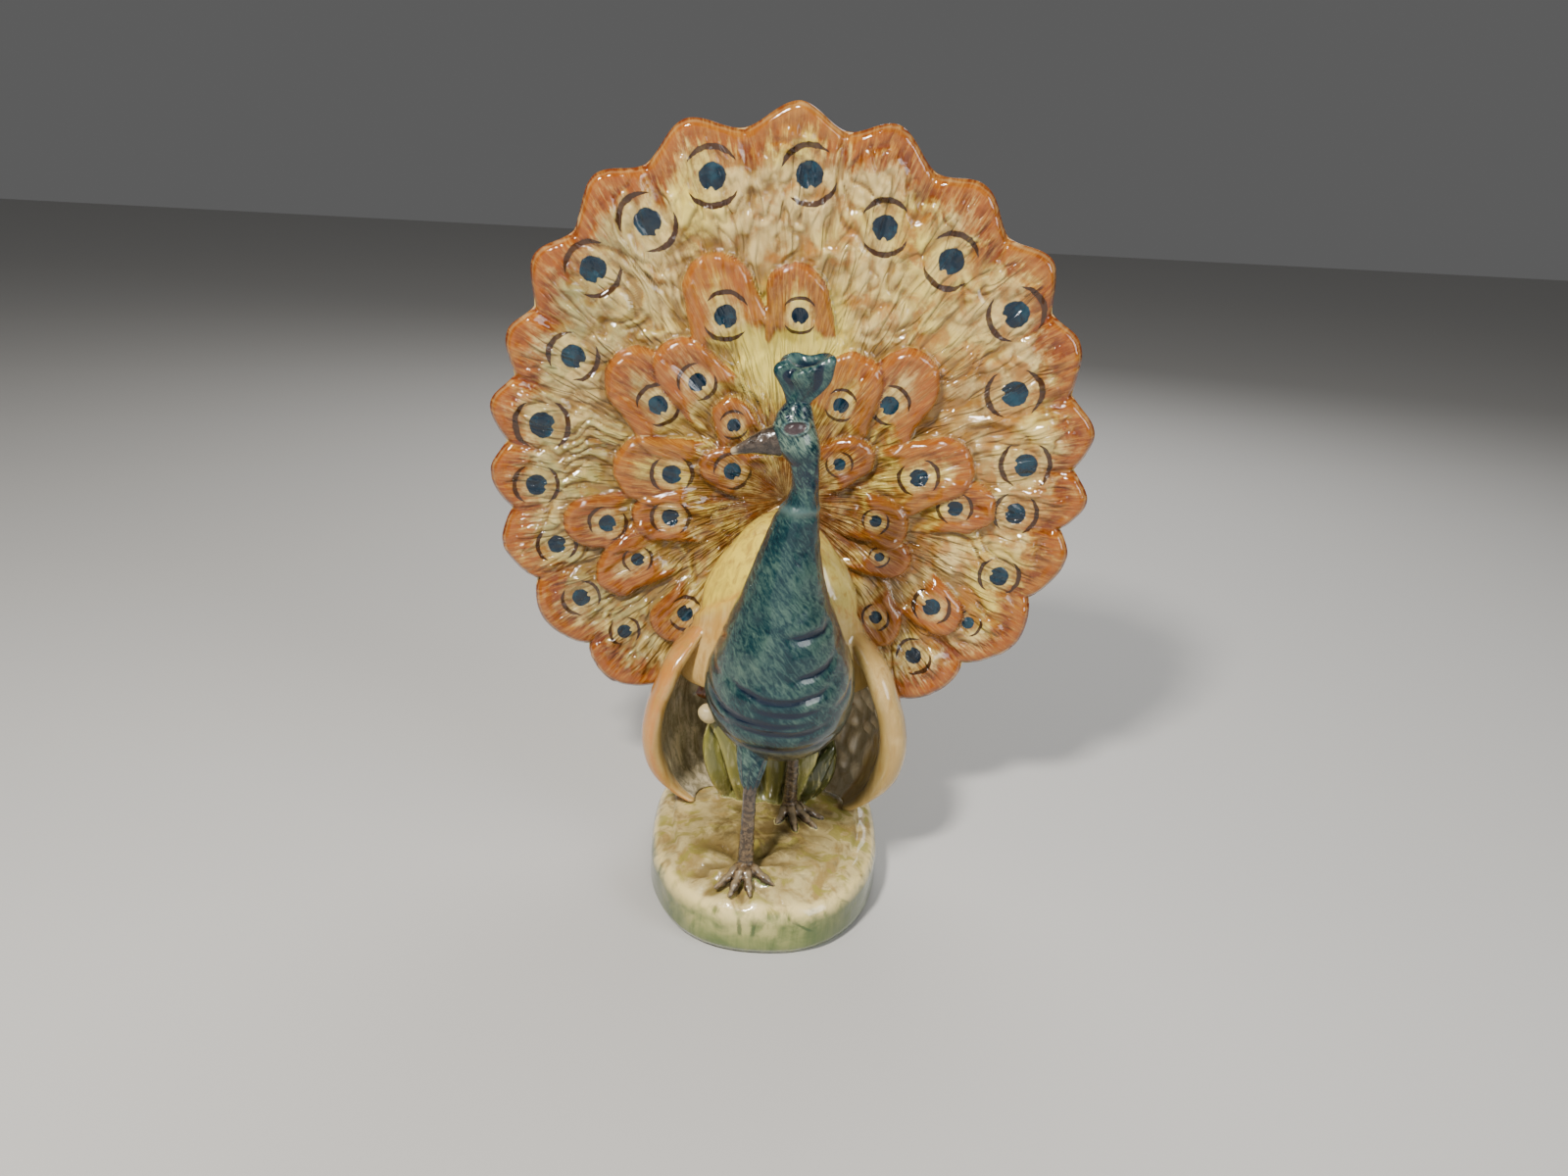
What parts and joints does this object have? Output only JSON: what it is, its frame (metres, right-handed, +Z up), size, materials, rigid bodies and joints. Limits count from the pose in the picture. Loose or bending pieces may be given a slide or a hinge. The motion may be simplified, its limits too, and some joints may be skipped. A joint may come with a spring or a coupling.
{
  "type": "peacock figurine",
  "caption": "Glazed ceramic figurine of a peacock standing on an oval mound with its train fanned out behind it, cast in one piece.",
  "frame": {"origin": "middle of the mound's flat underside", "axes": "+Z up to the top of the train, -Y towards the viewer that the bird faces, +X to the bird's left"},
  "size_m": [0.2254, 0.126, 0.2805],
  "materials": {
    "glazed_body": "glossy hand-painted glaze"
  },
  "bodies": {
    "root": {"peacock_figurine": "glazed_body"}
  },
  "joints": []
}
